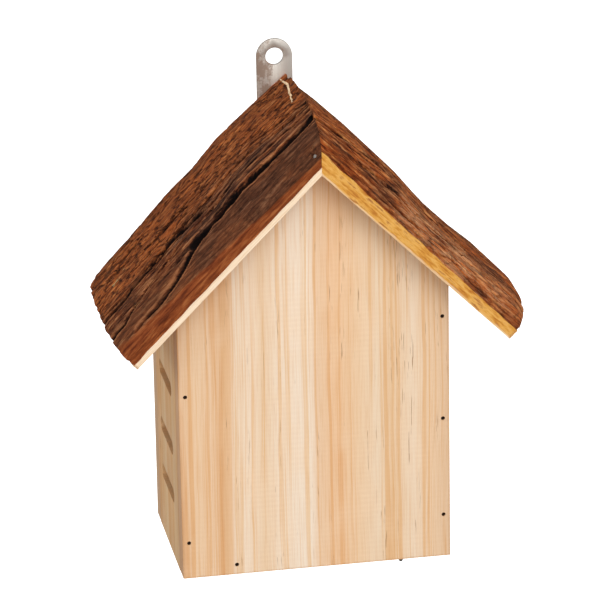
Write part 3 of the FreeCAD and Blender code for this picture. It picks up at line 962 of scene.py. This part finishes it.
for side in SIDES:
    slab = slab_piece(side, "slab_wood_" + side, WOOD_NET, flat_bottom, wood_height, WOOD_RAGGED)
    dressed(slab, "roof_board_" + side, "house", slab_wood_finish(side))

# %% [markdown]
# ## A splinter on the ridge
# Where the slab was split from the log, one pale splinter stayed behind and
# lies along the ridge. It is a thin rod, cut into short lengths and then laid
# along its own wavering line on the bark, thinner at both ends.

# %% The splinter
SPLINTER = [(-11.0, 49), (-13.0, 73), (-10.5, 91)]  # down and back in mm
SPLINTER_WIDE = 0.62            # half its width and half its height, in mm
SPLINTER_HIGH = 0.34
SPLINTER_LIFT = 0.15            # mm from the bark to its middle
SPLINTER_CUTS = 39
SPLINTER_BUMP = 0.4
SPLINTER_BUMP_DEPTH = 0.0003
bpy.ops.object.select_all(action="DESELECT")
bpy.ops.mesh.primitive_cylinder_add(vertices=8, radius=1, depth=1, rotation=(math.pi / 2, 0, 0))
splinter = bpy.context.object
splinter.name = splinter.data.name = "ridge_splinter"
bpy.ops.object.transform_apply(location=True, rotation=True, scale=True)
ends = np.array([edge.vertices[:] for edge in splinter.data.edges])
reach = read_floats(splinter.data.vertices, "co")[:, 1][ends]
select_only(splinter.data, edges=np.abs(reach[:, 0] - reach[:, 1]) > 0.5)
edited(splinter, "EDGE")
bpy.ops.mesh.subdivide(number_cuts=SPLINTER_CUTS)
bpy.ops.object.mode_set(mode="OBJECT")
wide, share, high = read_floats(splinter.data.vertices, "co").T
share = share + 0.5
way, line = np.array(SPLINTER, float).T
back = line[0] + share * (line[-1] - line[0])
middle = np.interp(back, line, way) + 0.35 * hills(back / 4, 0 * back, 900)
thick = 0.25 + 0.75 * np.sin(np.pi * np.clip(share, 0.02, 0.98)) ** 0.5
thick = thick * (1 + 0.3 * hills(back / 3, 0 * back, 901))
down = middle + wide * SPLINTER_WIDE * thick
rise = bark_height("left", middle, back) + SPLINTER_LIFT + high * SPLINTER_HIGH * thick
points = on_slab("left", down, back, rise).astype(np.float32)
splinter.data.vertices.foreach_set("co", points.ravel())
edited(splinter)
bpy.ops.mesh.select_all(action="SELECT")
bpy.ops.mesh.normals_make_consistent(inside=False)
smoothed(splinter, 50)

sliver = Finish("splinter_wood")
spot = object_millimetres(sliver)
threads = sliver.noise(sliver.stretched(spot, 0.4, 9, 0.4), 3.0)
stains = sliver.noise(sliver.stretched(spot, 3, 5, 3), 2.0)
pale_wood = sliver.ramp(threads, (0.35, paint(206, 168, 122)), (0.55, paint(236, 208, 168)))
pale_wood = sliver.mix(sliver.between(stains, 0.5, 0.7) * 0.5, pale_wood, paint(176, 124, 80))
sliver.done(threads, SPLINTER_BUMP, SPLINTER_BUMP_DEPTH, Base_Color=pale_wood,
            Roughness=0.6 + threads * 0.2)
dressed(splinter, None, "house", sliver.material)
print("splinter", len(splinter.data.polygons), "faces")

# %% [markdown]
# ## Steel
# The hanging plate is galvanised strip, brushed, with brown stains, and darker
# and browner towards its left. The nails have gone nearly black in the wood,
# and the hook is dull.
# Nails, screws and the hook are small, so their frame meshes stay and only
# the finish is new. Steel is mostly reflection: the brushed look comes from
# a roughness that changes in fine lines along the strip.

# %% Steel finishes
BRUSH = (0.25, 0.25, 30.0)      # mm: the brushing runs along Z
STEEL_BUMP = 0.22
STEEL_BUMP_DEPTH = 0.0002
PLATE_ARRIS = 0.0002
SHORTEST_PLATE_EDGE = 0.3 * MM


def steel_finish(name, clean, stain, shine, stain_level, lean=0.0):
    """Brushed steel. With lean, it turns darker and browner towards the left, at x below 0."""
    finish = Finish(name)
    place = object_millimetres(finish)
    brushed = finish.noise(finish.stretched(place, *BRUSH), 3.0)
    cloudy = finish.noise(finish.stretched(place, 7, 7, 11), 3.0, 0.6)
    specks = finish.noise(finish.stretched(place, 0.8, 0.8, 0.8), 2.0)
    # With lean, the stain mask grows towards the left, so that side turns darker and browner
    left = finish.parts(place)[0] * -lean
    stains_and_left_darkening = finish.between(cloudy + specks * 0.25 + left, stain_level, stain_level + 0.2)
    colour = finish.mix(stains_and_left_darkening * 0.8, finish.mix(brushed * 0.35, clean, stain), stain)
    return finish.done(
        brushed * 0.6 + specks * 0.4, STEEL_BUMP, STEEL_BUMP_DEPTH, Base_Color=colour,
        Roughness=shine + brushed * 0.16 + stains_and_left_darkening * 0.22, Metallic=0.95 - stains_and_left_darkening * 0.45,
    )


plate = welded_copy("hanger_plate", "hanging_plate")
soften(plate, PLATE_ARRIS, SHORTEST_PLATE_EDGE)
galvanised = steel_finish(
    "galvanised_strip", clean=paint(244, 238, 228), stain=paint(132, 100, 78),
    shine=0.34, stain_level=0.60, lean=0.022)
dressed(plate, "hanger_plate", "house", galvanised)

nail_steel = steel_finish(
    "darkened_nail_steel", clean=paint(66, 48, 36), stain=paint(34, 22, 15),
    shine=0.55, stain_level=0.50)
screw_steel = steel_finish(
    "zinc_screw_steel", clean=paint(226, 223, 216), stain=paint(126, 118, 108),
    shine=0.28, stain_level=0.66)
hook_steel = steel_finish(
    "dull_hook_steel", clean=paint(120, 112, 104), stain=paint(60, 50, 44),
    shine=0.38, stain_level=0.60)
small_steel = {node: nail_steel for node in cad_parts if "nails" in node}
small_steel.update(ridge_nails=screw_steel, hanger_screws=screw_steel, floor_pull_hook=hook_steel)
for node, steel in small_steel.items():
    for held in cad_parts[node].material_slots:
        held.material = steel
print("steel on", sorted(small_steel))

# %% [markdown]
# ## The floor, the light and the backdrop
# A product is shown on plain white. The floor lies far below the hanging
# house, so no shadow ties them together. It glows for the camera, which keeps
# it white, but gives the house only a dim light from below, and it is clear
# when seen from underneath. One large lamp high at the front, a little to the
# right, makes the front board the brightest face. A softer one fills in the
# left side, and a weak one lights the ridge from above.

# %% Studio
FLOOR_DROP = 0.13
FLOOR_SIZE = 30
bpy.ops.object.select_all(action="DESELECT")
bpy.ops.mesh.primitive_plane_add(size=FLOOR_SIZE, location=(0, 0, cad_box[0][2] - FLOOR_DROP))
ground = bpy.context.object
ground.name = "studio_floor"
pale = Finish("studio_white")
seen = pale.node("LightPath", {}, {}, out="Is Camera Ray")
below = pale.node("NewGeometry", {}, {}, out="Backfacing")
matt = pale.node("BsdfPrincipled", {}, {
    "Base Color": pale.mix(seen, paint(160, 160, 160), paint(246, 246, 246)),
    "Emission Color": pale.mix(seen, paint(112, 112, 112), paint(236, 236, 236)),
    "Emission Strength": 1.0, "Roughness": 0.9})
clear = pale.node("BsdfTransparent")
one_sided = pale.node("MixShader", {}, {0: below, 1: matt, 2: clear})
pale.node("OutputMaterial", {}, {"Surface": one_sided})
ground.data.materials.append(pale.material)

# The air is dim as a lamp, so that faces keep their shade, and white as a backdrop
AIR_LIGHT = 0.33
scene.world = bpy.data.worlds.new("studio_air")
air = Finish("studio_air", scene.world)
seen = air.node("LightPath", {}, {}, out="Is Camera Ray")
strength = seen * (1 - AIR_LIGHT) + AIR_LIGHT
glow = air.node("Background", {}, {"Color": paint(255, 255, 255), "Strength": strength})
air.node("OutputWorld", {}, {"Surface": glow})


def lamp(name, place, aim, size, power):
    bpy.ops.object.select_all(action="DESELECT")
    bpy.ops.object.light_add(type="AREA", location=place)
    light = bpy.context.object
    light.name = name
    light.data.size = size
    light.data.energy = power
    light.rotation_euler = (Vector(aim) - Vector(place)).to_track_quat("-Z", "Y").to_euler()


lamp("key_lamp", place=(0.5, -2.15, 1.9), aim=(0, -0.05, -0.12), size=3.0, power=88)
lamp("fill_lamp", place=(-2.0, -0.6, 1.2), aim=(0, 0, -0.1), size=1.5, power=18)
lamp("top_lamp", place=(-0.4, -0.2, 2.4), aim=(0, 0, -0.1), size=1.6, power=5)
print("lamps lit")

# %% [markdown]
# ## The last line
# The view layer is brought up to date.

# %% The last line
bpy.context.view_layer.update()
